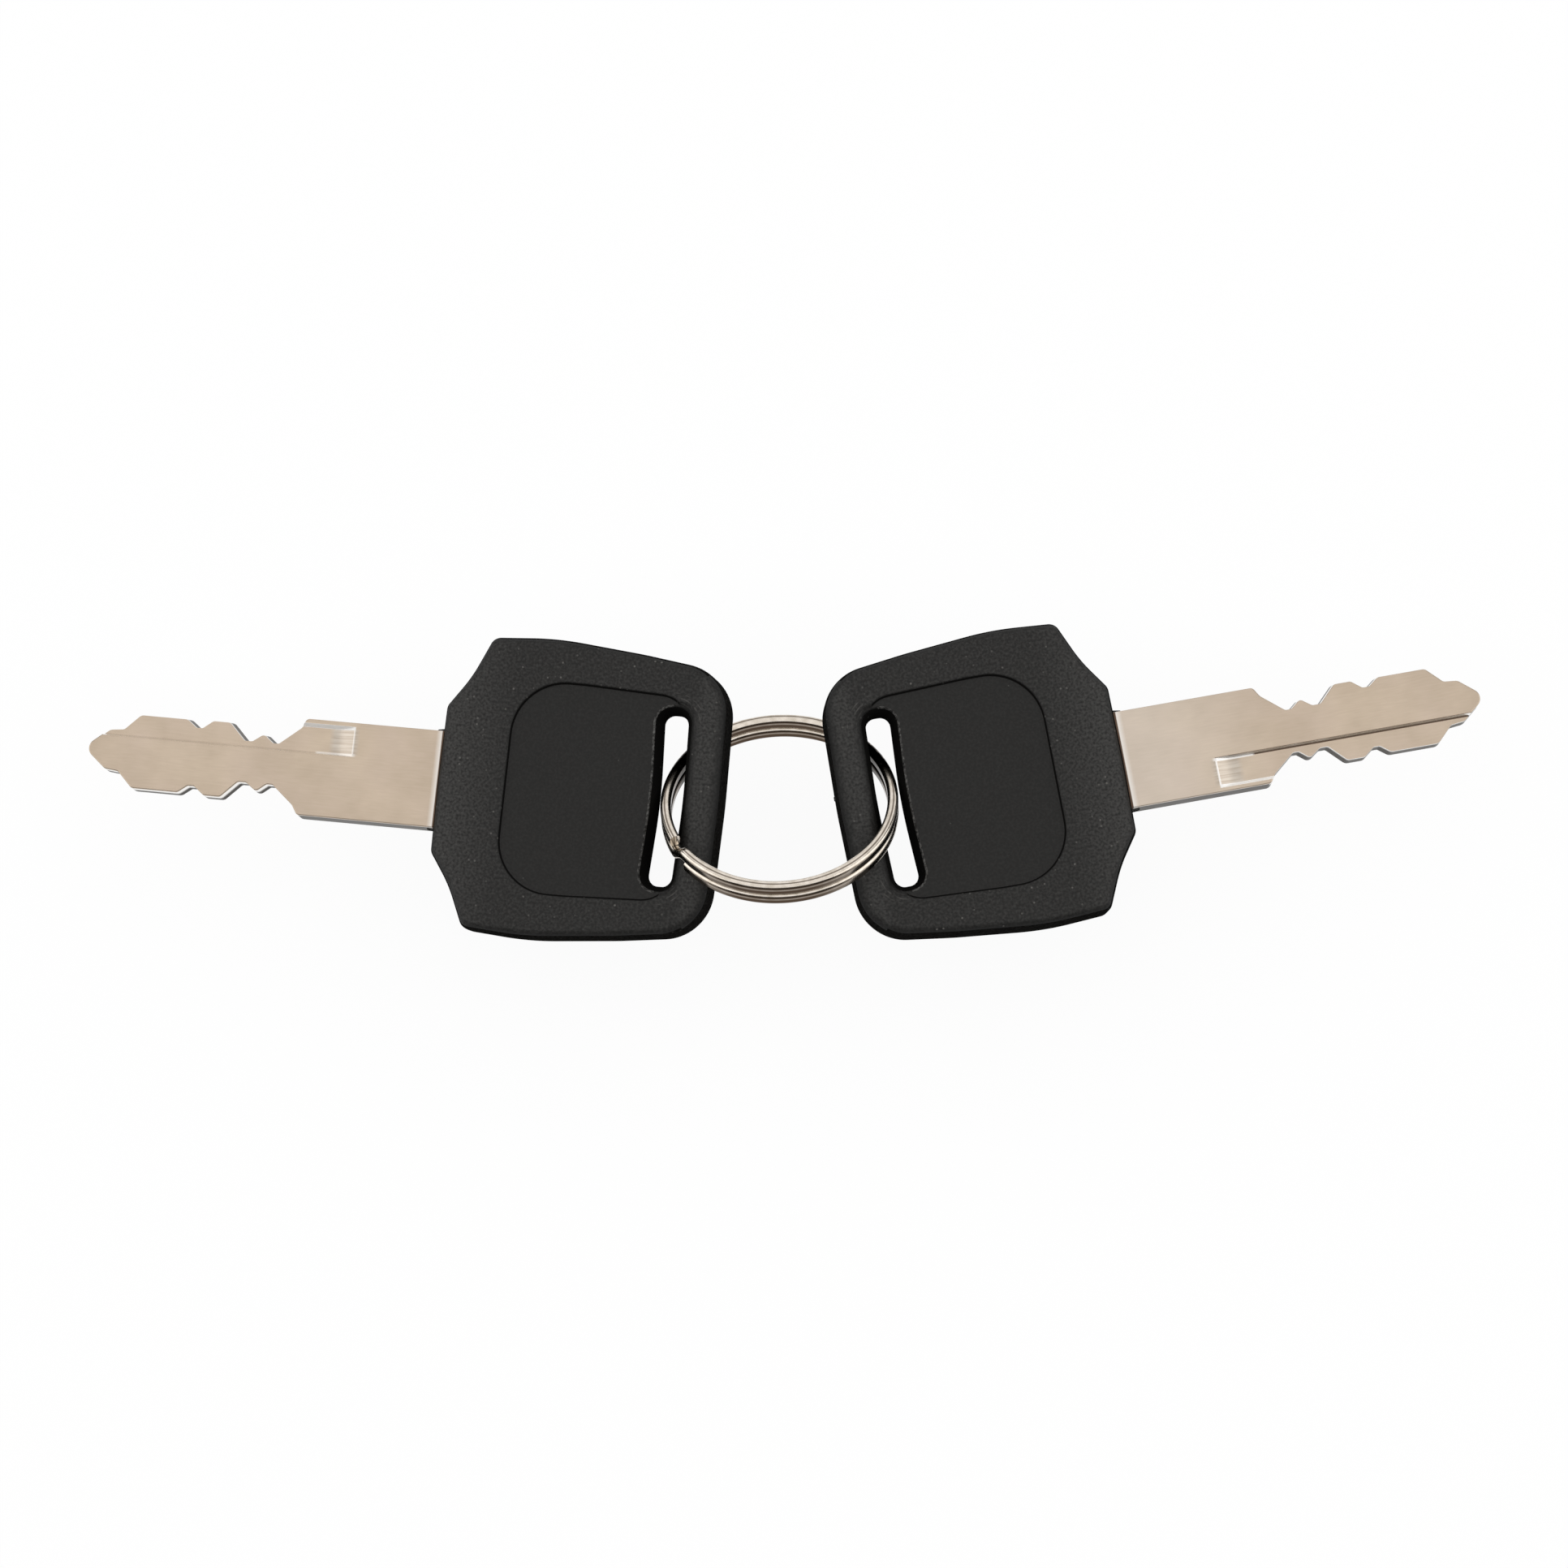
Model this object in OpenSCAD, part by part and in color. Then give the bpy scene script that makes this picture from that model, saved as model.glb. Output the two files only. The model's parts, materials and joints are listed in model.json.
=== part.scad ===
// Two ignition keys with moulded heads, linked by a two-turn split ring, lying on a table.
// X runs to the right, Y away from the viewer and Z up. Units are millimetres.

/* [Key head] */
// Length of the moulded head, from its outer bar to its front face
head_length = 27.1; // [24:0.1:32]
// Thickness of the head
head_thick = 5.0; // [4:0.1:7]
// How far the rounded edge draws in the head's flat faces
head_edge = 0.6; // [0.3:0.05:0.7]
// Depth of the rounded edge below each flat face
head_edge_depth = 1.3; // [0.5:0.1:2]
// Depth of the panel sunk into each face
panel_depth = 0.3; // [0.1:0.05:0.6]
// Width of the ring slot half way through the head
slot_width = 2.3; // [2:0.05:3]
// Length of the ring slot half way through the head
slot_length = 16.1; // [14:0.1:18]
// Middle of the ring slot's ends, from the head's outer end
slot_middle = 5.18; // [4.6:0.01:5.5]
// How far the slot's rounded lip draws back at each face, on the side of the outer bar
bar_lip = 1.7; // [1:0.05:1.8]
// How far the slot's lip draws back at each face, on the side of the blade
blade_lip = 1.4; // [0.4:0.05:1.6]
// Depth of the slot's rounded lips
slot_lip_depth = 2.2; // [0.5:0.1:2.3]
// How far the slot's wall on the side of the outer bar bows outward
bar_bow = 0.28; // [0.1:0.01:0.4]
// How far the slot's wall on the side of the blade bows outward
blade_bow = 0.45; // [0.1:0.01:0.6]

/* [Key blade] */
// Length of the whole key
key_length = 61.55; // [55:0.05:70]
// Width of the blade's shank
shank_width = 9.2; // [7:0.1:11]
// Thickness of the blade
blade_thick = 2.3; // [1.8:0.1:3]
// Where the tang starts inside the head
tang_start = 10; // [9:0.5:16]
// Diameter of the tang's anchoring hole
tang_hole = 4.4; // [2:0.1:6]
// Where the milled groove starts
groove_start = 35.65; // [30:0.05:39]
// Distance of the groove's inner wall from the blade's middle line
groove_inner = 1.5; // [0.5:0.05:2]
// Distance of the groove's outer wall from the blade's middle line
groove_outer = 3.9; // [3.6:0.05:4.2]
// Depth of the groove in each face
groove_depth = 0.6; // [0.3:0.05:0.9]
// Radius of the cutter that leaves the groove's run-out
cutter_radius = 4.4; // [2:0.1:10]

/* [Split ring] */
// Outside diameter of the ring
ring_diameter = 22.2; // [18:0.1:30]
// Width of the wire across the ring
wire_width = 1.0; // [0.8:0.05:1.4]
// Height of the wire along the ring's axis
wire_height = 1.2; // [0.9:0.05:1.6]
// Distance between the two turns
wire_pitch = 1.24; // [1:0.02:1.8]
// Where the wire steps from one turn to the other
step_angle = 212; // [0:1:359]
// Half the angle that the step takes
step_half = 5; // [4:0.5:12]
// Gap between each free end and the step
end_gap = 1; // [0.5:0.5:5]

/* [Lie on the table] */
// Where the ring's middle stands on the table, from the middle of the whole set
ring_spot = [0.22, -2.66]; // [-10:0.01:10]
// Tilt of the ring, with its near side up and its far side on the table
ring_tilt = 29.3; // [28:0.1:45]
// How far outward of the slot's middle the wire lies where it leaves the head
wire_back = 0.41; // [0.2:0.01:0.6]
// Left key: roll about its length, with its near edge on the table
left_roll = -7.6; // [-8:0.1:-6]
// Left key: heading on the table
left_heading = 172.9; // [165:0.1:185]
// Left key: sideways and upward offset from the ring's middle
left_shift = [0.39, 0.1]; // [-2:0.005:2]
// Right key: roll about its length, with its near edge on the table
right_roll = 6.2; // [5.5:0.1:8]
// Right key: heading on the table
right_heading = 10.6; // [-5:0.1:20]
// Right key: sideways and upward offset from the ring's middle
right_shift = [-1.335, -0.33]; // [-2:0.005:2]

/* [Hidden] */
$fn = 64;
plastic = [0.17, 0.17, 0.165];
nickel = [0.75, 0.69, 0.61];
bright = [0.82, 0.80, 0.76];
half_shank = shank_width / 2;
ring_radius = (ring_diameter - wire_width) / 2;
wire_flat = (wire_height - wire_width) / 2;
ring_height = ring_radius * sin(ring_tilt) + (wire_pitch / 2 + wire_flat) * cos(ring_tilt) + wire_width / 2;
ring_place = [ring_spot[0], ring_spot[1], ring_height];
// Distance from the ring's middle to each head's outer end, from the wire's run through the head
wire_run = head_thick / 2 / tan(ring_tilt - left_roll);
reach = sqrt(ring_radius ^ 2 - wire_run ^ 2) - slot_middle + wire_back;
// Corner of the tip that meets the table: back from the end, and out from the middle line
tip_back = 1.5;
tip_half = 1.6;
slot_bend = 60;
lip_root = 0.5;
lip_length = 0.8;
lip_height = 0.35;
lip_thick = 1.3;

// Corners of half the head's outline: along the key, across it, and the rounding there.
head_corners = [
    [0.25, 12.3, 4.8],
    [8.65, 13.42, 40],
    [17.15, 14.25, 30],
    [23.22, 13.82, 1.1],
    [24.95, 9.9, 14],
    [head_length - 0.1, 6.95, 1.1],
];
panel_corners = [
    [3.25, 9.6, 1.7],
    [13.65, 10.05, 20],
    [20.55, 10.1, 5.2],
];
blade_corners = [
    [key_length - 1.85, 1.88, 0.6],
    [key_length - 3.2, 2.03, 0.5],
    [key_length - 4.7, 3.52, 0.6],
    [key_length - 9.25, 3.52, 0.6],
    [key_length - 10.2, 2.8, 0.4],
    [key_length - 10.85, 2.8, 0.4],
    [key_length - 11.85, 3.58, 0.5],
    [key_length - 13.45, 3.58, 0.5],
    [key_length - 15.05, 1.98, 0.5],
    [key_length - 15.85, 1.98, 0.5],
    [key_length - 16.9, 2.74, 0.4],
    [key_length - 17.85, 1.98, 0.4],
    [key_length - 18.45, 1.97, 0.5],
    [key_length - 20.55, 3.7, 0.8],
    [key_length - 21.1, half_shank, 0.45],
];
tip_corner = [key_length + 0.45, 0, 0.9];

function unit(a) = a / norm(a);
function wrap(a) = a > 180 ? a - 360 : a < -180 ? a + 360 : a;
function turned(a) = [cos(a), sin(a)];
function across(a) = [for (i = [len(a) - 1:-1:0]) [a[i][0], -a[i][1], a[i][2]]];

// Points and outward directions of the arc that rounds corner b between a and c.
function arc(a, b, c, r, step) =
    let (
        back = unit(a - b),
        on = unit(c - b),
        half = acos(back * on) / 2,
        middle = b + unit(back + on) * r / sin(half),
        first = b + back * r / tan(half) - middle,
        last = b + on * r / tan(half) - middle,
        from = atan2(first[1], first[0]),
        sweep = wrap(atan2(last[1], last[0]) - from),
        count = max(2, ceil(abs(sweep) / step))
    )
    [for (k = [0:count])
        let (out = turned(from + sweep * k / count)) [middle + r * out, out * sign(sweep)]];

// Closed outline of [point, outward direction] pairs, counter-clockwise.
function rounded(corners, step = 12) =
    [for (i = [0:len(corners) - 1])
        let (
            n = len(corners),
            a = corners[(i + n - 1) % n],
            b = corners[i],
            c = corners[(i + 1) % n]
        )
        each arc([a[0], a[1]], [b[0], b[1]], [c[0], c[1]], b[2], step)];
function inset(outline, d) = [for (p = outline) p[0] - d * p[1]];

// Solid through the outline at several levels: height, how far drawn in, and how far moved along the key.
module loft(outline, levels) {
    n = len(outline);
    m = len(levels);
    points = [for (l = levels) each [for (p = inset(outline, l[1])) [p[0] + l[2], p[1], l[0]]]];
    sides = [for (k = [0:m - 2]) each [for (i = [0:n - 1])
        let (j = (i + 1) % n) each [
            [k * n + i, (k + 1) * n + i, (k + 1) * n + j],
            [k * n + i, (k + 1) * n + j, k * n + j],
        ]]];
    caps = [[for (i = [0:n - 1]) i], [for (i = [n - 1:-1:0]) (m - 1) * n + i]];
    polyhedron(points, concat(sides, caps));
}

head_outline = rounded(concat(
    [[head_length, 0, 60]],
    [for (i = [len(head_corners) - 1:-1:0]) head_corners[i]],
    [[0, 0, 60]],
    [for (c = head_corners) [c[0], -c[1], c[2]]]));
panel_outline = rounded(concat(
    [for (i = [len(panel_corners) - 1:-1:0]) panel_corners[i]],
    [for (c = panel_corners) [c[0], -c[1], c[2]]]));
blade_outline = rounded(concat(
    [tip_corner], blade_corners,
    [[tang_start, half_shank, 1], [tang_start, -half_shank, 1]],
    across(blade_corners)), 15);
slot_corner = slot_width / 2 - 0.2;
slot_outline = rounded([
    [slot_middle + slot_width / 2, slot_length / 2, slot_corner],
    [slot_middle - slot_width / 2, slot_length / 2, slot_corner],
    [slot_middle - slot_width / 2 - bar_bow, 0, slot_bend],
    [slot_middle - slot_width / 2, -slot_length / 2, slot_corner],
    [slot_middle + slot_width / 2, -slot_length / 2, slot_corner],
    [slot_middle + slot_width / 2 - blade_bow, 0, slot_bend],
], 15);

// Levels of an edge that is rounded as a quarter ellipse at both faces.
function both_faces(face, depth, draw, move) =
    let (top = [for (a = edge_turns)
        [face - depth * (1 - sin(a)), draw * (1 - cos(a)), move * (1 - cos(a))]])
    concat([for (i = [len(top) - 1:-1:0]) [-top[i][0], top[i][1], top[i][2]]], top);

edge_turns = [0:22.5:90];
slot_over = 0.02;
head_levels = both_faces(head_thick / 2, head_edge_depth, head_edge, 0);
slot_levels = both_faces(
    head_thick / 2 + slot_over, slot_lip_depth, -(bar_lip + blade_lip) / 2, (blade_lip - bar_lip) / 2);

module key_head() {
    difference() {
        union() {
            loft(head_outline, head_levels);
            for (s = [0, 1])
                mirror([0, s, 0])
                    translate([head_length - lip_root, half_shank, -lip_thick / 2])
                        cube([lip_root + lip_length, lip_height, lip_thick]);
        }
        for (s = [0, 1])
            mirror([0, 0, s])
                translate([0, 0, head_thick / 2 - panel_depth])
                    linear_extrude(panel_depth + 1) polygon([for (p = panel_outline) p[0]]);
        loft(slot_outline, slot_levels);
        key_blade();
    }
}

module key_blade() {
    difference() {
        translate([0, 0, -blade_thick / 2])
            linear_extrude(blade_thick) polygon([for (p = blade_outline) p[0]]);
        translate([tang_start + 8, 0, -blade_thick]) cylinder(d = tang_hole, h = 2 * blade_thick);
        for (s = [0, 180])
            rotate([s, 0, 0]) groove();
    }
}

// Milled groove in the upper face, with the curved run-out that the cutter leaves.
module groove() {
    floor = blade_thick / 2 - groove_depth;
    past_tip = key_length + 1;
    turn = acos(1 - 2 * groove_depth / cutter_radius);
    middle = groove_start + sqrt(2 * cutter_radius * groove_depth - groove_depth ^ 2);
    run_out = [for (k = [0:8]) let (a = turn * (1 - k / 8))
        [middle - cutter_radius * sin(a), floor + cutter_radius * (1 - cos(a))]];
    translate([0, -groove_inner, 0])
        rotate([90, 0, 0])
            linear_extrude(groove_outer - groove_inner)
                polygon(concat(run_out, [[past_tip, floor], [past_tip, floor + 2 * groove_depth]]));
}

module wire_turn(from, sweep, level) {
    translate([0, 0, level])
        rotate([0, 0, from])
            rotate_extrude(angle = sweep)
                translate([ring_radius, 0]) {
                    for (s = [-1, 1]) translate([0, s * wire_flat]) circle(d = wire_width);
                    square([wire_width, 2 * wire_flat], center = true);
                }
}

module wire_step() {
    around = 24;
    along = 14;
    slack = 0.96;
    points = [for (k = [0:along])
        let (
            part = k / along,
            a = step_angle - step_half - 1 + (2 * step_half + 2) * part,
            level = -wire_pitch / 2 * cos(180 * part)
        )
        each [for (i = [0:around - 1])
            let (
                t = 360 * (i + 0.5) / around,
                r = ring_radius + slack * wire_width / 2 * cos(t)
            )
            [r * cos(a), r * sin(a), level + slack * (wire_width / 2 * sin(t) + wire_flat * sign(sin(t)))]]];
    sides = [for (k = [0:along - 1]) each [for (i = [0:around - 1])
        let (j = (i + 1) % around) each [
            [k * around + i, (k + 1) * around + j, (k + 1) * around + i],
            [k * around + i, k * around + j, (k + 1) * around + j],
        ]]];
    caps = [[for (i = [around - 1:-1:0]) i], [for (i = [0:around - 1]) along * around + i]];
    polyhedron(points, concat(sides, caps));
}

module ring_body() {
    sweep = 360 - 2 * step_half - end_gap;
    wire_turn(step_angle + step_half, sweep, wire_pitch / 2);
    wire_turn(step_angle + step_half + end_gap, sweep, -wire_pitch / 2);
    wire_step();
}

// Pitch that brings the lower corner of the blade's tip down to the table.
function tip_pitch(roll, shift) =
    let (
        along = reach + key_length - tip_back,
        low = sin(roll) * (shift[0] - sign(roll) * tip_half) + cos(roll) * (shift[1] - blade_thick / 2)
    )
    asin(ring_height / norm([along, low])) + atan2(low, along);

module lay(roll, heading, shift) {
    translate(ring_place)
        rotate([roll, tip_pitch(roll, shift), heading])
            translate([reach, shift[0], shift[1]])
                children();
}

module left_key_head() { color(plastic) lay(left_roll, left_heading, left_shift) key_head(); }
module left_key_blade() { color(nickel) lay(left_roll, left_heading, left_shift) key_blade(); }
module right_key_head() { color(plastic) lay(right_roll, right_heading, right_shift) key_head(); }
module right_key_blade() { color(nickel) lay(right_roll, right_heading, right_shift) key_blade(); }
module split_ring() { color(bright) translate(ring_place) rotate([-ring_tilt, 0, 0]) ring_body(); }

left_key_head();
left_key_blade();
right_key_head();
right_key_blade();
split_ring();
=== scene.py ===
import bpy
import json
import math
from mathutils import Euler, Matrix, Vector, noise
from mathutils.kdtree import KDTree


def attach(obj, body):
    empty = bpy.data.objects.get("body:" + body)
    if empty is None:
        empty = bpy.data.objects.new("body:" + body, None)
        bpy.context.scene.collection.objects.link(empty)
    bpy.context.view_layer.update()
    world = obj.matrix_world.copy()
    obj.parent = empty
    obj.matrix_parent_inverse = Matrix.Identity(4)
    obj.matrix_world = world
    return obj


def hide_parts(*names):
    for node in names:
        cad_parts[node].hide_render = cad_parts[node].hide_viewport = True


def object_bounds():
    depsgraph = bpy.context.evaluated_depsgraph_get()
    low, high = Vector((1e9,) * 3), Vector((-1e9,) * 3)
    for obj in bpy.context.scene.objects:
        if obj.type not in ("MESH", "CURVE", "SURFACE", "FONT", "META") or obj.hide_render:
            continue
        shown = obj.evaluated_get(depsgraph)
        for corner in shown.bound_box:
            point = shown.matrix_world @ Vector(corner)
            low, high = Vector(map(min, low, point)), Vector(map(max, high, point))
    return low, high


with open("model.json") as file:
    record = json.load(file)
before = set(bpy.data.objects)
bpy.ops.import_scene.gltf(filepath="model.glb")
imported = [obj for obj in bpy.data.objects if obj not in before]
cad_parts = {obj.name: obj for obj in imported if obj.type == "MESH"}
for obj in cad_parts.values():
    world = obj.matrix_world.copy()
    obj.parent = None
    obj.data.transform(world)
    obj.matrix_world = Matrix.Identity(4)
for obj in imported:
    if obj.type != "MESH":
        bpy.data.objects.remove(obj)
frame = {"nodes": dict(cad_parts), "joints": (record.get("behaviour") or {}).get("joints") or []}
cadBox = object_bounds()
print("frame loaded:", ", ".join(sorted(frame["nodes"])))

mm = 0.001  # pieces are modelled in millimetres and shrunk into place

# how each key lies: its swivel gives the long axis, its roll and shift are the part's own
keyLie = {
    "left": {"swivel": "left_key_swivel", "sense": -1, "roll": -7.6, "shift": (0.39, 0.1)},
    "right": {"swivel": "right_key_swivel", "sense": 1, "roll": 6.2, "shift": (-1.335, -0.33)},
}
keyReach = 5.2935  # ring middle to the head's outer end


def keyTurn(side):
    lie = keyLie[side]
    swivel = next(j for j in frame["joints"] if j["name"] == lie["swivel"])
    along = Vector(swivel["axis"]).normalized() * lie["sense"]
    turn = Euler((math.radians(lie["roll"]), -math.asin(along.z), math.atan2(along.y, along.x)))
    offset = Vector((keyReach, *lie["shift"])) * mm
    return Vector(swivel["pos_m"]) + turn.to_matrix() @ offset, turn


# outlines

def roundedOutline(corners, turnStep, spacing):
    arcs = []
    count = len(corners)
    for i in range(count):
        before, here, after = (Vector(corners[(i + k) % count][:2]) for k in (-1, 0, 1))
        radius = corners[i][2]
        back = (before - here).normalized()
        onward = (after - here).normalized()
        half = back.angle(onward) / 2
        middle = here + (back + onward).normalized() * radius / math.sin(half)
        first = here + back * radius / math.tan(half) - middle
        last = here + onward * radius / math.tan(half) - middle
        start = math.atan2(first.y, first.x)
        sweep = (math.atan2(last.y, last.x) - start + math.pi) % (2 * math.pi) - math.pi
        byTurn = math.ceil(abs(math.degrees(sweep)) / turnStep)
        byLength = math.ceil(abs(sweep) * radius / spacing)
        steps = max(2, byTurn, byLength)
        arc = []
        for k in range(steps + 1):
            out = Vector((math.cos(start + sweep * k / steps), math.sin(start + sweep * k / steps)))
            arc.append((middle + radius * out, out * math.copysign(1, sweep)))
        arcs.append(arc)
    outline = []
    for arc, nextArc in zip(arcs, arcs[1:] + arcs[:1]):
        outline += arc
        end, out = arc[-1]
        gap = nextArc[0][0] - end
        steps = math.ceil(gap.length / spacing)
        outline += [(end + gap * k / steps, out) for k in range(1, steps)]
    return outline


# the same corners across the key's middle line, in running order
def otherSide(corners):
    return [(u, -v, radius) for u, v, radius in reversed(corners)]


# heights up a quarter round that ends at the face
def quarterRound(face, depth, turnStep):
    return [face - depth * (1 - math.sin(math.radians(a))) for a in range(0, 91, turnStep)]


def bothFaces(upper):
    return [-h for h in reversed(upper)] + upper


def pickOnly(piece):
    bpy.ops.object.select_all(action="DESELECT")
    piece.select_set(True)
    bpy.context.view_layer.objects.active = piece


def faceOutward(piece):
    pickOnly(piece)
    bpy.ops.object.mode_set(mode="EDIT")
    bpy.ops.mesh.select_all(action="SELECT")
    bpy.ops.mesh.normals_make_consistent(inside=False)
    bpy.ops.object.mode_set(mode="OBJECT")


# a flat outline is extruded level by level, then each level is drawn in
def raiseOutline(name, outline, heights, drawIn):
    bpy.ops.object.select_all(action="DESELECT")
    bpy.ops.mesh.primitive_circle_add(vertices=len(outline), radius=1, fill_type="NGON")
    piece = bpy.context.object
    piece.name = name
    finder = KDTree(len(outline))
    for i, (vertex, (point, _)) in enumerate(zip(piece.data.vertices, outline)):
        vertex.co = (point.x, point.y, heights[0])
        finder.insert((point.x, point.y, 0), i)
    finder.balance()
    bpy.ops.object.mode_set(mode="EDIT")
    bpy.ops.mesh.select_all(action="SELECT")
    for low, high in zip(heights, heights[1:]):
        bpy.ops.mesh.extrude_region_move(TRANSFORM_OT_translate={"value": (0, 0, high - low)})
    bpy.ops.object.mode_set(mode="OBJECT")
    faceOutward(piece)
    for vertex in piece.data.vertices:
        point, out = outline[finder.find((vertex.co.x, vertex.co.y, 0))[1]]
        height = min(heights, key=lambda h: abs(h - vertex.co.z))
        moved = point + drawIn(point, out, height)
        vertex.co = (moved.x, moved.y, height)
    return piece


def useModifier(piece, kind, **settings):
    pickOnly(piece)
    modifier = piece.modifiers.new(kind.lower(), kind)
    for key, value in settings.items():
        setattr(modifier, key, value)
    bpy.ops.object.modifier_apply(modifier=modifier.name)


def combine(piece, tool, operation):
    useModifier(piece, "BOOLEAN", object=tool, operation=operation, solver="EXACT")
    bpy.data.objects.remove(tool)


meshClean = {"merge": 0.002, "degenerate": 0.001}


def cleanMesh(piece, sharpFrom):
    pickOnly(piece)
    bpy.ops.object.mode_set(mode="EDIT")
    bpy.ops.mesh.select_all(action="SELECT")
    bpy.ops.mesh.remove_doubles(threshold=meshClean["merge"])
    bpy.ops.mesh.dissolve_degenerate(threshold=meshClean["degenerate"])
    bpy.ops.object.mode_set(mode="OBJECT")
    bpy.ops.object.shade_smooth_by_angle(angle=math.radians(sharpFrom))
    useModifier(piece, "WEIGHTED_NORMAL", keep_sharp=True)


def paintFaces(piece, finish, chosen):
    piece.data.materials.append(finish)
    for face in piece.data.polygons:
        if chosen(face.center, face.normal):
            face.material_index = len(piece.data.materials) - 1


def settle(piece, place, turn, body, node):
    piece.matrix_world = Matrix.LocRotScale(place, turn, Vector((mm, mm, mm)))
    pickOnly(piece)
    bpy.ops.object.transform_apply(location=True, rotation=True, scale=True)
    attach(piece, body)
    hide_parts(node)


# moulded head

headSizes = {
    "length": 27.1,
    "thick": 5.0,
    # along the key from the outer end, out from the middle line, and the rounding there
    "corners": [(27.1, 0, 60), (27.0, 6.95, 1.1), (24.95, 9.9, 14), (23.22, 13.82, 1.1), (17.15, 14.25, 30),
                (8.65, 13.42, 40), (0.25, 12.3, 4.8), (0, 0, 60)],
    "rim": 0.8,  # draw-in of the rounded edge
    "barRim": 1.3,  # the same, round the outer bar
    "barEnd": 4.0,
    "rimDepth": 1.3,
    "parting": 0.06,  # half the height of the parting line
    "flash": 0.1,
    "flashGrain": 0.55,
    "flashPower": 1.5,
    "sharpFrom": 40,
}
stubSizes = {
    "lipRoot": 0.5,
    "lipLength": 0.8,
    "lipHeight": 0.35,
    "lipSink": 0.1,  # how far the lip's root sits in the blade
    "lipEnd": 0.02,  # from the blade to the middle of the lip's end
    "lipThick": 1.3,
    "lipTaper": 0.55,
    "gateAcross": 1.25,  # cut-off gate on the right head's outer end
    "gateRoot": 0.5,
    "gateWide": 0.5,
    "gateOut": 0.12,
    "gateTaper": 0.8,
}
slotSizes = {
    "middle": 5.18,
    "width": 2.3,
    "length": 16.1,
    "endFlat": 0.2,  # half the flat between an end's two rounded corners
    "bend": 60,  # the long walls bow outward
    "barBow": 0.28,
    "bladeBow": 0.45,
    "barLip": 1.7,
    "barLipDepth": 2.2,
    "draft": 0.66,  # slope of the wall on the blade's side
    "edge": 0.2,  # rounding of that wall's upper edge
    "clear": 0.02,  # how far the cutter stands out of the face
    # heights where the walls are shaped: up the wall, down from the panel's floor, and up to the face
    "wallHeights": [0.2, 0.6, 1.0, 1.4, 1.7, 1.9],
    "edgeDrops": [0.2, 0.14, 0.08, 0.04, 0.015, -0.005],
    "lipHeights": [2.32, 2.4, 2.46, 2.5],
}
panelSizes = {
    "corners": [(20.55, 10.1, 5.2), (13.65, 10.05, 20), (3.6, 9.6, 3.0)],
    "depth": 0.3,
    "wall": 0.24,
    # heights from the floor and from the face, with the wall's draw-in there in shares of its width
    "footSteps": [(0.0, 1.0), (0.03, 0.72), (0.09, 0.5)],
    "brinkSteps": [(-0.09, 0.1), (-0.03, -0.15), (0.0, -0.55), (0.03, -1.2), (0.5, -1.2)],
}
panelFloor = headSizes["thick"] / 2 - panelSizes["depth"]


def easeIn(value, low, high):
    share = min(1, max(0, (value - low) / (high - low)))
    return share * share * (3 - 2 * share)


def headBlank(name, seed):
    s = headSizes
    half = s["thick"] / 2
    front, *sides, outer = s["corners"]
    outline = roundedOutline([front, *sides, outer, *otherSide(sides)], turnStep=5, spacing=0.4)
    heights = bothFaces([s["parting"]] + quarterRound(half, s["rimDepth"], 15))

    def drawIn(point, out, height):
        if abs(height) <= s["parting"]:
            ragged = noise.noise(Vector((point.x * s["flashGrain"], point.y * s["flashGrain"], seed)))
            return out * s["flash"] * max(0, ragged) ** s["flashPower"]
        rise = max(0, abs(height) - half + s["rimDepth"]) / s["rimDepth"]
        rim = s["rim"] + (s["barRim"] - s["rim"]) * (1 - easeIn(point.x, 0, s["barEnd"]))
        return -out * rim * (1 - math.sqrt(max(0, 1 - rise * rise)))

    return raiseOutline(name, outline, heights, drawIn)


def slotCutter():
    s = slotSizes
    top = headSizes["thick"] / 2 + s["clear"]
    end = s["length"] / 2
    barSide = s["middle"] - s["width"] / 2
    bladeSide = s["middle"] + s["width"] / 2
    turn = s["width"] / 2 - s["endFlat"]
    corners = [(bladeSide, end, turn), (barSide, end, turn), (barSide - s["barBow"], 0, s["bend"]),
               (barSide, -end, turn), (bladeSide, -end, turn), (bladeSide - s["bladeBow"], 0, s["bend"])]
    outline = roundedOutline(corners, turnStep=10, spacing=1.0)
    edgeHeights = [panelFloor - drop for drop in s["edgeDrops"]]
    heights = bothFaces(s["wallHeights"] + edgeHeights + s["lipHeights"] + [top])

    def drawIn(point, out, height):
        depth = top - abs(height)
        curl = max(0, 1 - depth / s["barLipDepth"])
        bar = s["barLip"] * (1 - math.sqrt(1 - curl * curl))
        wall = s["draft"] * abs(height) / panelFloor
        lip = min(1, max(0, (abs(height) - panelFloor + s["edge"]) / s["edge"]))
        blade = wall + s["edge"] * (1 - math.sqrt(1 - lip * lip))
        return out * (bar + blade) / 2 + Vector(((blade - bar) / 2, 0))

    return raiseOutline("slotCutter", outline, heights, drawIn)


def panelCutter(face):
    s = panelSizes
    half = headSizes["thick"] / 2
    outline = roundedOutline(s["corners"] + otherSide(s["corners"]), turnStep=5, spacing=0.5)
    draws = {half + (h - s["depth"]): draw for h, draw in s["footSteps"]}
    draws |= {half + h: draw for h, draw in s["brinkSteps"]}

    def drawIn(point, out, height):
        return -out * s["wall"] * draws[height]

    cutter = raiseOutline("panelCutter", outline, list(draws), drawIn)
    if face < 0:
        pickOnly(cutter)
        cutter.rotation_euler = (math.pi, 0, 0)
        bpy.ops.object.transform_apply(rotation=True)
    return cutter


# cut blade

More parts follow.
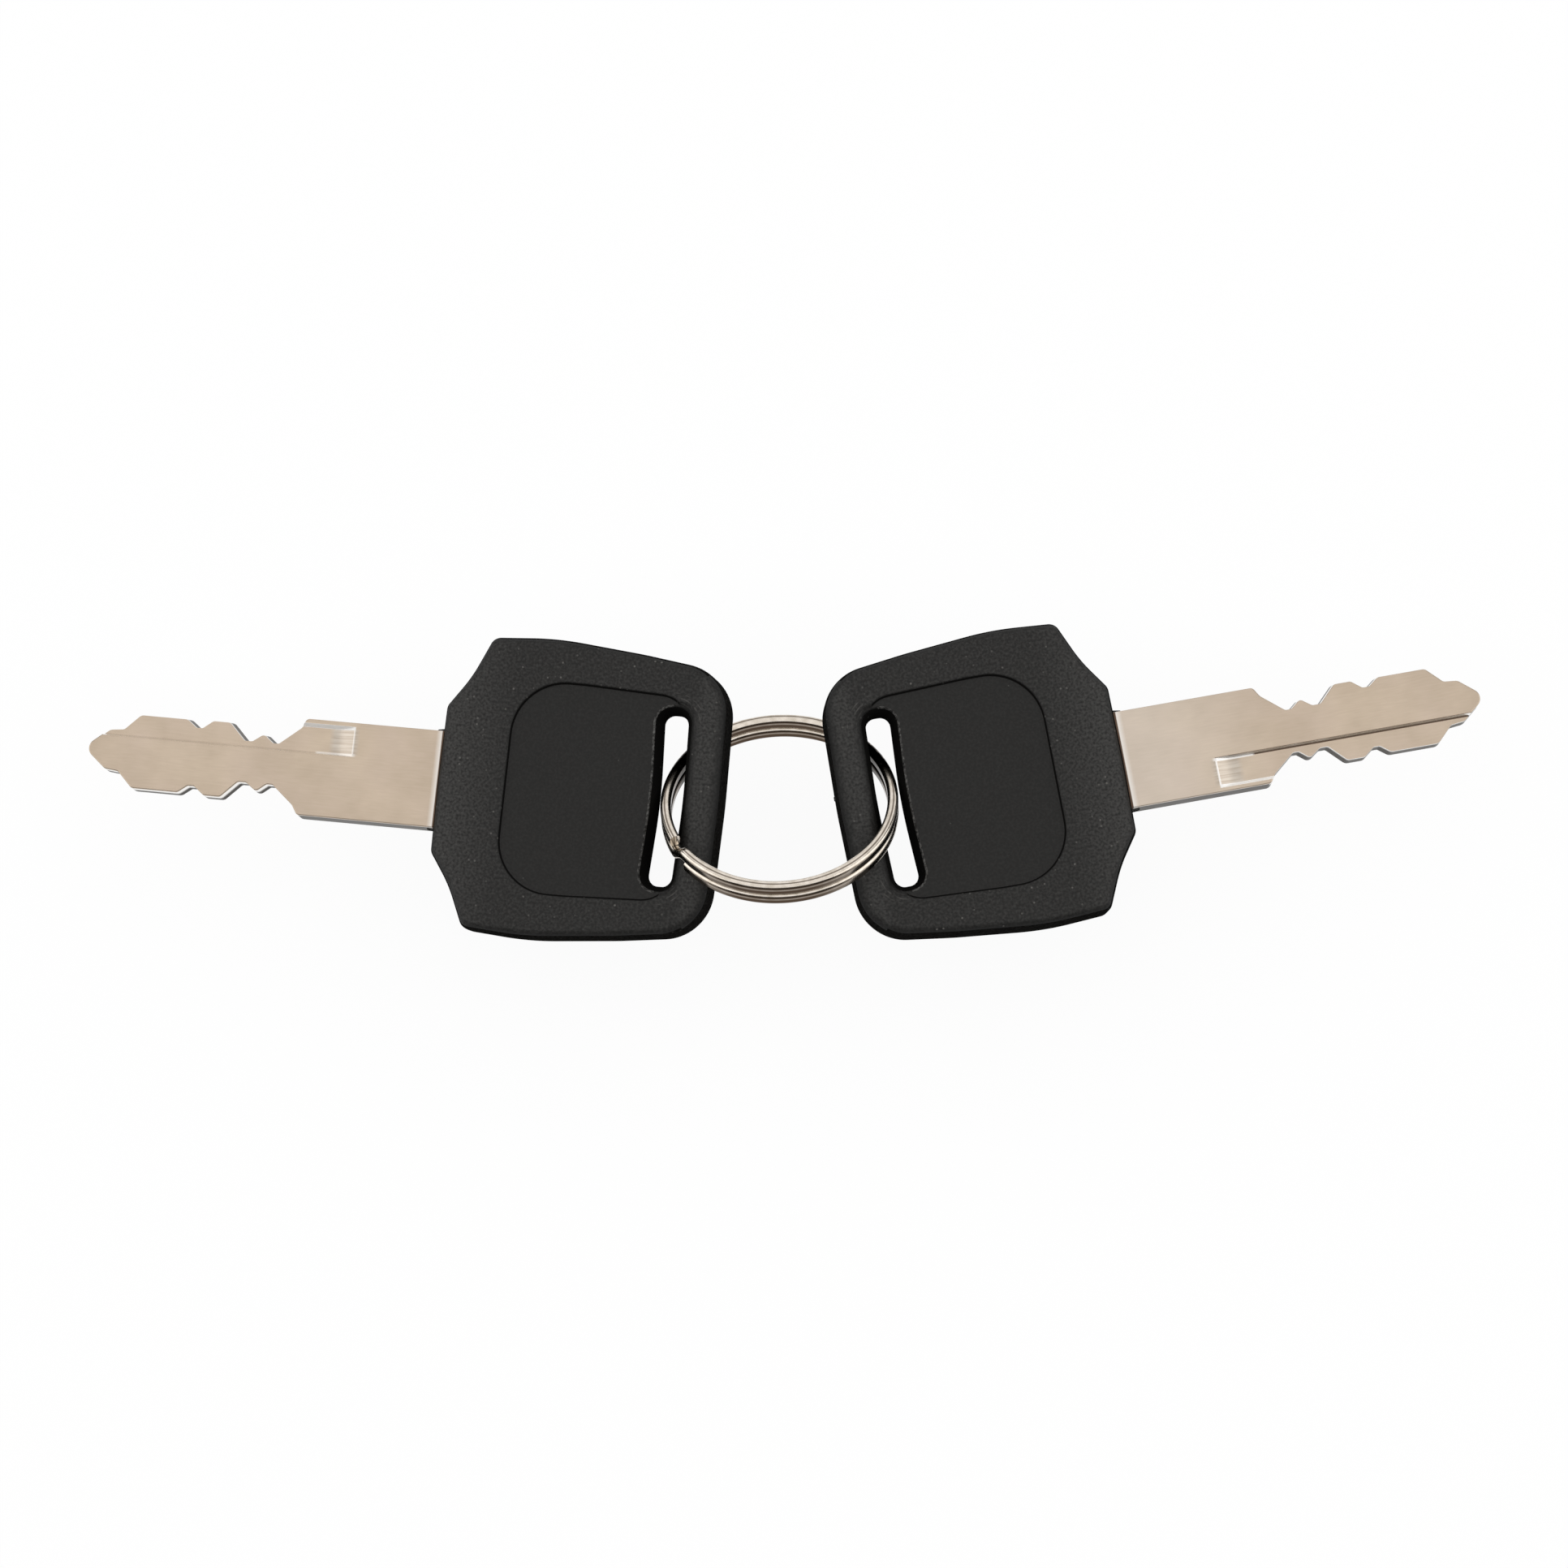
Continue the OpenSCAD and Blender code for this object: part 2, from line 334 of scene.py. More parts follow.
bladeSizes = {
    "length": 61.55,
    "shank": 9.2,
    "thick": 2.3,
    "round": 0.12,  # rounding of the face's edges
    "lean": 0.18,  # the stamped edges lean out towards the lower face
    "tangStart": 10,
    "tangRound": 1,
    "tangHole": 4.4,
    "tangHoleIn": 8,  # from the tang's start to the hole's middle
    # back from the tip, out from the middle line, and the rounding there
    "cuts": [(1.85, 1.88, 0.6), (3.2, 2.03, 0.5), (4.7, 3.52, 0.6), (9.25, 3.52, 0.6), (10.2, 2.8, 0.4),
             (10.85, 2.8, 0.4), (11.85, 3.58, 0.5), (13.45, 3.58, 0.5), (15.05, 1.98, 0.5),
             (15.85, 1.98, 0.5), (16.9, 2.74, 0.4), (17.85, 1.98, 0.4), (18.45, 1.97, 0.5),
             (20.55, 3.7, 0.8), (21.1, 4.6, 0.45)],
    "tipPast": 0.45,  # where the tip's two slopes would meet
    "tipRound": 0.9,
    "sharpFrom": 35,
}
grooveSizes = {
    "start": 35.65,
    "inner": 1.5,
    "outer": 3.9,
    "depth": 0.6,
    "cutter": 4.4,  # radius of the milling cutter that left the run-out
    "cutterTall": 1.6,  # in shares of the depth
    "arcSteps": 10,
    "past": 1,  # how far the groove is cut past the tip
    "innerSlant": 0.16,
    "outerSlant": 0.3,
}


def bladeBlank(name):
    s = bladeSizes
    half = s["thick"] / 2
    cuts = [(s["length"] - back, out, radius) for back, out, radius in s["cuts"]]
    tip = (s["length"] + s["tipPast"], 0, s["tipRound"])
    edge = cuts + [(s["tangStart"], s["shank"] / 2, s["tangRound"])]
    outline = roundedOutline([tip] + edge + otherSide(edge), turnStep=9, spacing=2.0)
    heights = bothFaces(quarterRound(half, s["round"], 30))

    def drawIn(point, out, height):
        rise = max(0, 1 - (half - abs(height)) / s["round"])
        lean = s["lean"] * (half - height) / s["thick"]
        return out * (lean - s["round"] * (1 - math.sqrt(max(0, 1 - rise * rise))))

    return raiseOutline(name, outline, heights, drawIn)


def grooveCutter(face):
    s = grooveSizes
    floor = bladeSizes["thick"] / 2 - s["depth"]
    tall = s["cutterTall"] * s["depth"]
    reach = math.acos(1 - tall / s["cutter"])
    middle = s["start"] + math.sqrt(2 * s["cutter"] * s["depth"] - s["depth"] ** 2)
    end = bladeSizes["length"] + s["past"]
    profile = []
    for k in range(s["arcSteps"] + 1):
        bend = reach * (1 - k / s["arcSteps"])
        profile.append((middle - s["cutter"] * math.sin(bend), floor + s["cutter"] * (1 - math.cos(bend))))
    profile += [(end, floor), (end, floor + tall)]
    still = Vector((0, 0))
    outline = [(Vector(point), still) for point in profile]
    cutter = raiseOutline("grooveCutter", outline, [s["inner"], s["outer"]], lambda *spot: still)
    for vertex in cutter.data.vertices:
        u, w, v = vertex.co
        rise = (w - floor) / s["depth"]
        v += s["outerSlant"] * rise if v > (s["inner"] + s["outer"]) / 2 else -s["innerSlant"] * rise
        vertex.co = (u, -v * face, w * face)
    faceOutward(cutter)
    return cutter


def tangDrill():
    s = bladeSizes
    bpy.ops.object.select_all(action="DESELECT")
    bpy.ops.mesh.primitive_cylinder_add(vertices=64, radius=s["tangHole"] / 2, depth=2 * s["thick"],
                                        location=(s["tangStart"] + s["tangHoleIn"], 0, 0))
    drill = bpy.context.object
    bpy.ops.object.transform_apply(location=True)
    return drill


def keyBlade(name):
    blade = bladeBlank(name)
    for face in (1, -1):
        combine(blade, grooveCutter(face), "DIFFERENCE")
    combine(blade, tangDrill(), "DIFFERENCE")
    return blade


# a small tapered stub of moulded plastic, from its root to its end, joined to the head
def joinStub(head, root, end, size, taper):
    bpy.ops.object.select_all(action="DESELECT")
    bpy.ops.mesh.primitive_cube_add(size=1)
    stub = bpy.context.object
    for vertex in stub.data.vertices:
        share = vertex.co.x + 0.5
        narrow = 1 + (taper - 1) * share
        middle = Vector(root).lerp(Vector(end), share)
        vertex.co = middle + Vector((0, vertex.co.y * size[0] * narrow, vertex.co.z * size[1] * narrow))
    useModifier(stub, "BEVEL", width=0.05, segments=2)
    combine(head, stub, "UNION")


def headStubs(head, gate):
    s = stubSizes
    front = headSizes["length"]
    edge = bladeSizes["shank"] / 2
    for across in (1, -1):
        root = (front - s["lipRoot"], across * (edge + s["lipHeight"] / 2 - s["lipSink"]), 0)
        end = (front + s["lipLength"], across * (edge + s["lipEnd"]), 0)
        joinStub(head, root, end, (s["lipHeight"] + 2 * s["lipSink"], s["lipThick"]), s["lipTaper"])
    if gate:
        root = (s["gateRoot"], s["gateAcross"], 0)
        end = (-s["gateOut"], s["gateAcross"], 0)
        joinStub(head, root, end, (s["gateWide"], s["gateWide"]), s["gateTaper"])


def keyHead(name, seed, blade, gate):
    head = headBlank(name, seed)
    headStubs(head, gate)
    for face in (1, -1):
        combine(head, panelCutter(face), "DIFFERENCE")
    combine(head, slotCutter(), "DIFFERENCE")
    pickOnly(blade)
    bpy.ops.object.duplicate()
    combine(head, bpy.context.object, "DIFFERENCE")
    return head


# split ring

ringSizes = {
    "diameter": 22.2,
    "wireWidth": 1.0,
    "wireHeight": 1.2,
    "wireCorner": 0.38,
    "pitch": 1.24,
    "stepAngle": 212,
    "stepHalf": 5,
    "endGap": 1,
    "endBevel": 0.12,
    "angleStep": 1.5,
    "tilt": 29.3,
    "sharpFrom": 50,
}


def splitRing(name):
    s = ringSizes
    radius = (s["diameter"] - s["wireWidth"]) / 2
    lowStart = s["stepAngle"] + s["stepHalf"] + s["endGap"]
    stepStart = s["stepAngle"] - s["stepHalf"] + 360
    stepEnd = s["stepAngle"] + s["stepHalf"] + 360
    highEnd = stepEnd + 360 - 2 * s["stepHalf"] - s["endGap"]
    halfW = s["wireWidth"] / 2
    halfH = s["wireHeight"] / 2
    quarters = ((1, 1), (-1, 1), (-1, -1), (1, -1))
    corners = [(out * halfW, up * halfH, s["wireCorner"]) for out, up in quarters]
    section = roundedOutline(corners, turnStep=15, spacing=2.0)
    steps = int((highEnd - lowStart) / s["angleStep"])
    angles = [lowStart + k * s["angleStep"] for k in range(steps + 1)] + [highEnd]
    bpy.ops.object.select_all(action="DESELECT")
    bpy.ops.mesh.primitive_circle_add(vertices=len(section), radius=1, fill_type="NGON")
    ring = bpy.context.object
    ring.name = name
    for vertex, (point, _) in zip(ring.data.vertices, section):
        vertex.co = (radius + point.x, 0, point.y)
    bpy.ops.object.mode_set(mode="EDIT")
    bpy.ops.mesh.select_all(action="SELECT")

    def level(angle):
        climb = min(1, max(0, (angle - stepStart) / (stepEnd - stepStart)))
        return -s["pitch"] / 2 * math.cos(math.pi * climb)

    def turnAll(angle, rise):
        bpy.ops.transform.rotate(value=-math.radians(angle), orient_axis="Z", center_override=(0, 0, 0))
        bpy.ops.transform.translate(value=(0, 0, rise))

    turnAll(angles[0], level(angles[0]))
    for here, there in zip(angles, angles[1:]):
        bpy.ops.mesh.extrude_region_move()
        turnAll(there - here, level(there) - level(here))
    bpy.ops.object.mode_set(mode="OBJECT")
    faceOutward(ring)
    useModifier(ring, "BEVEL", width=s["endBevel"], segments=3, limit_method="ANGLE",
                angle_limit=math.radians(60))
    return ring


# finishes

def newFinish(name):
    finish = bpy.data.materials.new(name)
    finish.use_nodes = True
    return finish, finish.node_tree, finish.node_tree.nodes["Principled BSDF"]


def feed(net, socket, value):
    if isinstance(value, bpy.types.NodeSocket):
        net.links.new(value, socket)
    else:
        socket.default_value = value


def calc(net, operation, *values):
    node = net.nodes.new("ShaderNodeMath")
    node.operation = operation
    for socket, value in zip(node.inputs, values):
        feed(net, socket, value)
    return node.outputs["Value"]


def product(net, first, *others):
    for other in others:
        first = calc(net, "MULTIPLY", first, other)
    return first


def hypotenuse(net, first, second):
    return calc(net, "SQRT", calc(net, "ADD", product(net, first, first), product(net, second, second)))


def ramp(net, value, low, high):
    node = net.nodes.new("ShaderNodeMapRange")
    feed(net, node.inputs["Value"], value)
    node.inputs["From Min"].default_value = low
    node.inputs["From Max"].default_value = high
    return node.outputs["Result"]


def within(net, value, low, high, soft):
    return product(net, ramp(net, value, low - soft, low), ramp(net, value, high + soft, high))


def tint(net, share, first, second):
    node = net.nodes.new("ShaderNodeMix")
    node.data_type = "RGBA"
    feed(net, node.inputs["Factor"], share)
    feed(net, node.inputs["A"], first)
    feed(net, node.inputs["B"], second)
    return node.outputs["Result"]


def cloud(net, place, scale, detail, stretch=(1, 1, 1)):
    mapping = net.nodes.new("ShaderNodeMapping")
    mapping.inputs["Scale"].default_value = stretch
    net.links.new(place, mapping.inputs["Vector"])
    node = net.nodes.new("ShaderNodeTexNoise")
    node.inputs["Scale"].default_value = scale
    node.inputs["Detail"].default_value = detail
    net.links.new(mapping.outputs["Vector"], node.inputs["Vector"])
    return node.outputs["Fac"]


def roughen(net, shader, height, strength, depth):
    bump = net.nodes.new("ShaderNodeBump")
    bump.inputs["Strength"].default_value = strength
    bump.inputs["Distance"].default_value = depth
    net.links.new(height, bump.inputs["Height"])
    net.links.new(bump.outputs["Normal"], shader.inputs["Normal"])


# a piece's own millimetres, from where it lies
def ownPlace(net, place, turn):
    coordinates = net.nodes.new("ShaderNodeTexCoord")
    mapping = net.nodes.new("ShaderNodeMapping")
    mapping.vector_type = "TEXTURE"
    mapping.inputs["Location"].default_value = place
    mapping.inputs["Rotation"].default_value = turn
    mapping.inputs["Scale"].default_value = (mm, mm, mm)
    net.links.new(coordinates.outputs["Object"], mapping.inputs["Vector"])
    split = net.nodes.new("ShaderNodeSeparateXYZ")
    net.links.new(mapping.outputs["Vector"], split.inputs["Vector"])
    return mapping.outputs["Vector"], split.outputs["X"], split.outputs["Y"], split.outputs["Z"]


# 1 where the surface lies along the key's faces and 0 on its sides
def markLevel(piece):
    level = piece.data.attributes.new("level", "FLOAT", "CORNER")
    for mark, normal in zip(level.data, piece.data.corner_normals):
        mark.value = abs(normal.vector.z)


def levelness(net):
    node = net.nodes.new("ShaderNodeAttribute")
    node.attribute_name = "level"
    return node.outputs["Fac"]


plasticLook = {
    "dark": (0.0150, 0.0145, 0.0136, 1),
    "light": (0.0290, 0.0280, 0.0265, 1),
    "grainy": (0.0400, 0.0388, 0.0368, 1),  # the frame's rougher skin
    "edge": (0.0055, 0.0053, 0.0050, 1),  # painted shade on the rounded edges and sides
    "edgeShadeFrom": (0.55, 0.995),
    "speck": (0.105, 0.100, 0.093, 1),
    "paleAndHighlight": (0.056, 0.0545, 0.052, 1),  # paler skin towards the blade, and a painted highlight along the outer bar
    "paleFrom": (20.5, 26.5),
    "paleGrain": (0.3, 0.7),
    "barHighlight": (1.3, 2.4),  # painted highlight along the middle of the outer bar
    "barSoft": 0.9,
    "barShare": 0.6,
    "wallShade": (0.0060, 0.0058, 0.0055, 1),  # painted shade on the walls of the slot and of the panel's step
    "wearAndHighlight": (0.14, 0.136, 0.13, 1),  # painted highlight along the slot's upper edge
    "grain": {"scale": 4.0, "detail": 3},
    "grainDepth": 0.00005,
    "roughness": 0.5,
}
skinLook = {
    "rough": {"tone": (0.4, 0.75), "cells": 1.6, "spot": (0.19, 0.1), "plainTo": 0.6, "bump": 0.35},
    "smooth": {"tone": (0.4, 1.1), "cells": 0.9, "spot": (0.07, 0.03), "plainTo": 0.93, "bump": 0.15},
}
# the wall and side zones carry painted shade; without specular the steep walls don't shine at a low angle
zoneLook = {
    "frame": {"tones": ("dark", "grainy"), "skin": "rough", "marks": "speck", "specular": 0.15},
    "panel": {"tones": ("dark", "light"), "skin": "smooth", "marks": "speck", "specular": 0.15},
    "lip": {"tones": ("dark", "wearAndHighlight"), "skin": "rough", "marks": "speck", "specular": 0.15},
    "wall": {"tones": ("wallShade", "wallShade"), "skin": "rough", "marks": "light", "specular": 0.0},
    "side": {"tones": ("edge", "dark"), "skin": "rough", "marks": "light", "specular": 0.0},
}
arcLook = {
    "spacing": 0.42,
    "reach": (2.3, 3.2),
    "soft": 0.2,
    "crest": (0.5, 1.0),
    "pastEnd": (-0.4, 0.6),
    "pastSide": (0.3, -0.7),
    "patches": {"scale": 1.3, "detail": 2},
    "patchy": (0.4, 0.9),
}


# faint arcs left by the mould round the slot's ends
def mouldArcs(net, place, along, across):
    look = arcLook
    endMiddle = slotSizes["length"] / 2 - slotSizes["width"] / 2
    pastEnd = calc(net, "SUBTRACT", calc(net, "ABSOLUTE", across), endMiddle)
    pastSide = calc(net, "SUBTRACT", along, slotSizes["middle"])
    far = hypotenuse(net, pastEnd, pastSide)
    wave = calc(net, "SINE", product(net, far, 2 * math.pi / look["spacing"]))
    arcs = product(net, ramp(net, wave, *look["crest"]), within(net, far, *look["reach"], look["soft"]))
    corner = product(net, ramp(net, pastEnd, *look["pastEnd"]), ramp(net, pastSide, *look["pastSide"]))
    faint = ramp(net, cloud(net, place, **look["patches"]), *look["patchy"])
    return product(net, arcs, corner, faint)


def plasticFinish(name, side, zone):
    look = plasticLook
    kind = zoneLook[zone]
    skin = skinLook[kind["skin"]]
    finish, net, shader = newFinish(name)
    place, along, across, _ = ownPlace(net, *keyTurn(side))
    grain = cloud(net, place, **look["grain"])
    lower, upper = kind["tones"]
    colour = tint(net, ramp(net, grain, *skin["tone"]), look[lower], look[upper])
    if zone == "frame":
        # painted highlight along the outer bar's middle, with paler skin towards the blade
        bar = product(net, within(net, along, *look["barHighlight"], look["barSoft"]), look["barShare"])
        paleAndLit = calc(net, "MAXIMUM", ramp(net, along, *look["paleFrom"]), bar)
        paleAndLit = product(net, paleAndLit, ramp(net, grain, *look["paleGrain"]))
        colour = tint(net, paleAndLit, colour, look["paleAndHighlight"])
        # painted shade on the rounded edges and sides, where the surface turns away from the faces
        colour = tint(net, ramp(net, levelness(net), *look["edgeShadeFrom"]), look["edge"], colour)
    cells = net.nodes.new("ShaderNodeTexVoronoi")
    cells.inputs["Scale"].default_value = skin["cells"]
    net.links.new(place, cells.inputs["Vector"])
    chance = net.nodes.new("ShaderNodeSeparateColor")
    net.links.new(cells.outputs["Color"], chance.inputs["Color"])
    spot = ramp(net, cells.outputs["Distance"], *skin["spot"])
    rare = ramp(net, chance.outputs["Red"], skin["plainTo"], 1.0)  # many cells stay plain
    marks = product(net, spot, rare)
    if zone == "frame":
        marks = calc(net, "MAXIMUM", marks, mouldArcs(net, place, along, across))
    net.links.new(tint(net, marks, colour, look[kind["marks"]]), shader.inputs["Base Color"])
    roughen(net, shader, grain, skin["bump"], look["grainDepth"])
    shader.inputs["Roughness"].default_value = look["roughness"]
    shader.inputs["Specular IOR Level"].default_value = kind["specular"]
    return finish


bladeLook = {
    "pale": (0.575, 0.470, 0.363, 1),
    "deep": (0.470, 0.380, 0.290, 1),
    "rosy": (0.545, 0.440, 0.360, 1),
    "brushing": {"scale": 1.5, "detail": 4, "stretch": (0.4, 4.0, 4.0)},
    "brushShare": 0.5,
    "brushDepth": 0.00001,
    "bump": 0.2,
    "blotches": {"scale": 0.3, "detail": 2},
    "deepFrom": (0.45, 1.05),
    "warmth": {"scale": 0.13, "detail": 1},
    "rosyFrom": (0.35, 0.65),
    "bare": (0.80, 0.77, 0.73, 1),  # bright strip beside the head, and the paler part of the shank
    "gleam": {"left": 0.0, "right": 0.2},  # paler towards the head
    "gleamFrom": (42, 30),
    "stripLong": 0.5,
    "stripShare": 0.75,
    "creaseShade": (0.10, 0.065, 0.045, 1),  # painted shade: brown line where the plastic ends and in the groove's corner
    "shadeLong": 0.2,
    "shadeSolid": 0.6,
    "paintedGlint": (0.92, 0.90, 0.87, 1),  # painted highlight: bright upper edge of the sides, and the groove's bright lines
    "shade": (0.075, 0.066, 0.057, 1),  # painted shade: the dull sides below it
    "sideGlintFrom": {"filed": (0.1, 0.5), "rolled": (0.85, 1.05)},
    "roughness": 0.3,
    "specular": 0.05,
}
grooveLook = {
    "streak": (0.43, 0.365, 0.30, 1),
    "milled": (0.54, 0.48, 0.41, 1),
    "streaks": {"scale": 1.0, "detail": 3, "stretch": (0.25, 4.5, 0.1)},
    "milledFrom": (0.4, 0.62),
    "startSoft": 0.05,
    "runOut": 2.08,
    "runOutSoft": 0.52,
    "floorSoft": 0.1,
    "cornerShade": {"left": 0.12, "right": 1.0},  # how dark the painted shade in the inner corner is
    "shadeIn": 0.02,
    "shadeOut": 0.06,
    "shadeSoft": 0.04,
    "glint": {"left": 0.4, "right": 0.75},  # painted highlight: bright line round the run-out
    "glintWide": 0.12,
    "glintSoft": 0.05,
    "glintLong": 3.6,
    "glintFade": 0.3,
    "wallSoft": 0.03,
}


# the colour of the blade's faces with the groove on it, and how metallic they are
def bladeFace(net, side, place, along, inward, brushed):
    look = bladeLook
    cut = grooveLook
    start, inner, outer = (grooveSizes[key] for key in ("start", "inner", "outer"))
    blotched = calc(net, "MULTIPLY_ADD", brushed, look["brushShare"], cloud(net, place, **look["blotches"]))
    warm = ramp(net, cloud(net, place, **look["warmth"]), *look["rosyFrom"])
    colour = tint(net, warm, look["pale"], look["rosy"])
    colour = tint(net, ramp(net, blotched, *look["deepFrom"]), colour, look["deep"])
    gleam = product(net, ramp(net, along, *look["gleamFrom"]), look["gleam"][side])
    colour = tint(net, gleam, colour, look["bare"])
    begun = ramp(net, along, start - cut["startSoft"], start + cut["startSoft"])
    floor = within(net, inward, inner, outer, cut["floorSoft"])
    runOut = within(net, along, start, start + cut["runOut"], cut["runOutSoft"])
    streaks = ramp(net, cloud(net, place, **cut["streaks"]), *cut["milledFrom"])
    milled = tint(net, streaks, cut["streak"], cut["milled"])
    colour = tint(net, product(net, runOut, floor), colour, milled)
    # painted shade in the groove's inner corner
    cornerStart = inner - grooveSizes["innerSlant"] - cut["shadeIn"]
    corner = within(net, inward, cornerStart, inner + cut["shadeOut"], cut["shadeSoft"])
    colour = tint(net, product(net, corner, begun, cut["cornerShade"][side]), colour, look["creaseShade"])
    # painted highlight round the run-out
    line = within(net, inward, inner - cut["glintWide"], inner + cut["glintWide"], cut["glintSoft"])
    line = product(net, line, within(net, along, start, start + cut["glintLong"], cut["glintFade"]))
    lead = product(net, within(net, along, start, start + cut["glintWide"], cut["glintSoft"]), floor)
    glint = product(net, calc(net, "MAXIMUM", line, lead), cut["glint"][side])
    colour = tint(net, glint, colour, look["paintedGlint"])
    # painted highlight on the groove's outer wall, which is made less metallic there
    wall = within(net, inward, outer, outer + grooveSizes["outerSlant"], cut["wallSoft"])
    wallHighlight = product(net, wall, begun)
    return tint(net, wallHighlight, colour, look["paintedGlint"]), calc(net, "SUBTRACT", 1.0, wallHighlight)


def bladeFinish(name, side, zone):
    look = bladeLook
    finish, net, shader = newFinish(name)
    place, along, across, up = ownPlace(net, *keyTurn(side))
    brushed = cloud(net, place, **look["brushing"])
    if zone == "face":
        # the groove lies on opposite sides of the two faces
        inward = product(net, across, calc(net, "SIGN", up), -1.0)
        colour, metal = bladeFace(net, side, place, along, inward, brushed)
    else:
        # the sides: painted highlight along their upper edge over painted shade
        metal = ramp(net, up, *look["sideGlintFrom"][zone])
        colour = tint(net, metal, look["shade"], look["paintedGlint"])
    front = headSizes["length"]
    shadeEnd = front + look["shadeLong"]
    strip = ramp(net, along, shadeEnd + look["stripLong"], shadeEnd)
    colour = tint(net, product(net, strip, look["stripShare"]), colour, look["bare"])
    # painted shade where the plastic ends
    creaseShade = ramp(net, along, shadeEnd, front + look["shadeLong"] * look["shadeSolid"])
    colour = tint(net, creaseShade, colour, look["creaseShade"])
    net.links.new(colour, shader.inputs["Base Color"])
    roughen(net, shader, brushed, look["bump"], look["brushDepth"])
    net.links.new(metal, shader.inputs["Metallic"])
    shader.inputs["Specular IOR Level"].default_value = look["specular"]
    shader.inputs["Roughness"].default_value = look["roughness"]
    return finish


wireLook = {
    "top": (0.77, 0.70, 0.62, 1),
    "wearAndHighlight": (0.56, 0.50, 0.42, 1),
    "scratches": {"scale": 1.5, "detail": 4},
    "scratchDepth": 0.00002,
    "bump": 0.05,
    "wornFrom": (0.35, 0.7),
    "darkReflection": (0.075, 0.050, 0.033, 1),  # painted dark reflection on the flanks
    "flankFrom": (0.40, 0.47),  # from the middle of the wire
    "flankFacing": (0.35, 0.95),  # deepest on the near and far sides
    "flankHighlight": (0.71, 0.77),  # a painted highlight line along each turn's flank
    "brightSoft": 0.1,
    "brightShare": 0.35,
    "topLine": (0.04, 0.13),  # a painted dark reflection line along the upper side
    "topSoft": 0.06,
    "topShare": 0.8,
    "slotShade": (0.030, 0.025, 0.021, 1),  # painted shade and reflection of the slots' black walls, where the wire passes them
    "slotShadeFrom": (0.38, 0.70),
    "slotShadeSoft": 0.1,
    "slotShadeGrain": (0.2, 0.45),
    "roughness": 0.16,
}


def wireFinish(name, middle, turn):
    look = wireLook
    finish, net, shader = newFinish(name)
    place, right, far, up = ownPlace(net, middle, turn)
    out = hypotenuse(net, right, far)
    aside = calc(net, "SUBTRACT", out, (ringSizes["diameter"] - ringSizes["wireWidth"]) / 2)
    scratches = cloud(net, place, **look["scratches"])
    colour = tint(net, ramp(net, scratches, *look["wornFrom"]), look["top"], look["wearAndHighlight"])
    farShare = calc(net, "DIVIDE", far, out)
    facing = ramp(net, calc(net, "ABSOLUTE", farShare), *look["flankFacing"])
    outer = product(net, ramp(net, aside, *look["flankFrom"]), facing)
    inner = ramp(net, product(net, aside, -1.0), *look["flankFrom"])
    # painted dark reflection along the top and flanks, broken by a painted highlight line
    topDarkLine = product(net, within(net, aside, *look["topLine"], look["topSoft"]), look["topShare"])
    colour = tint(net, topDarkLine, colour, look["darkReflection"])
    turnHeight = calc(net, "WRAP", up, ringSizes["pitch"], 0.0)
    highlightLine = within(net, turnHeight, *look["flankHighlight"], look["brightSoft"])
    highlightLine = product(net, highlightLine, look["brightShare"])
    flankDark = product(net, calc(net, "MAXIMUM", outer, inner), calc(net, "SUBTRACT", 1.0, highlightLine))
    colour = tint(net, flankDark, colour, look["darkReflection"])
    # painted shade and reflection where the wire passes the slots
    inSlot = within(net, farShare, *look["slotShadeFrom"], look["slotShadeSoft"])
    slotShaded = product(net, inSlot, ramp(net, scratches, *look["slotShadeGrain"]))
    colour = tint(net, slotShaded, colour, look["slotShade"])
    net.links.new(colour, shader.inputs["Base Color"])
    roughen(net, shader, scratches, look["bump"], look["scratchDepth"])
    shader.inputs["Metallic"].default_value = 1
    shader.inputs["Roughness"].default_value = look["roughness"]
    return finish


# where each finish lies, in the key's own millimetres; level is 1 along the faces and 0 on the sides

headZones = {
    "panelSlack": 0.02,
    "panelLevel": 0.9,
    "sideLevel": 0.5,
    "slotAlong": (2.2, 7.8),
    "slotAcross": 9.2,
    "slotLevel": 0.62,
    "stepAlong": (3, 20.8),
    "stepAcross": 10.2,
    "stepLevel": 0.68,
    "lipAlong": (slotSizes["middle"], 8),
    "lipAcross": 9.5,
    "lipLevel": (0.3, 0.93),
    "lipSlack": 0.01,
}
bladeZones = {
    "sideLevel": 0.3,
    "rolledFacing": 0.95,
    "rolledAcross": 4.4,
}


def inBox(centre, along, across):
    return along[0] < centre.x < along[1] and abs(centre.y) < across


def onPanel(centre, normal):
    offFloor = abs(abs(centre.z) - panelFloor)
    return offFloor < headZones["panelSlack"] and abs(normal.z) > headZones["panelLevel"]


def onSide(centre, normal):
    return abs(normal.z) < headZones["sideLevel"]


def shaded(centre, normal):
    z = headZones
    deep = abs(centre.z) < panelFloor - slotSizes["edge"] / 2
    inSlot = deep and inBox(centre, z["slotAlong"], z["slotAcross"]) and abs(normal.z) < z["slotLevel"]
    raised = abs(centre.z) > panelFloor
    onStep = raised and inBox(centre, z["stepAlong"], z["stepAcross"]) and abs(normal.z) < z["stepLevel"]
    return inSlot or onStep


def onLip(centre, normal):
    z = headZones
    low = panelFloor - slotSizes["edge"] - z["lipSlack"]
    upperEdge = low < abs(centre.z) < panelFloor + z["lipSlack"]
    rounded = z["lipLevel"][0] < abs(normal.z) < z["lipLevel"][1]
    return upperEdge and rounded and inBox(centre, z["lipAlong"], z["lipAcross"])


def onCuts(centre, normal):
    return abs(normal.z) < bladeZones["sideLevel"]


def onShank(centre, normal):
    facing = abs(normal.y) > bladeZones["rolledFacing"]
    return onCuts(centre, normal) and facing and abs(centre.y) > bladeZones["rolledAcross"]


# build the two keys and the ring

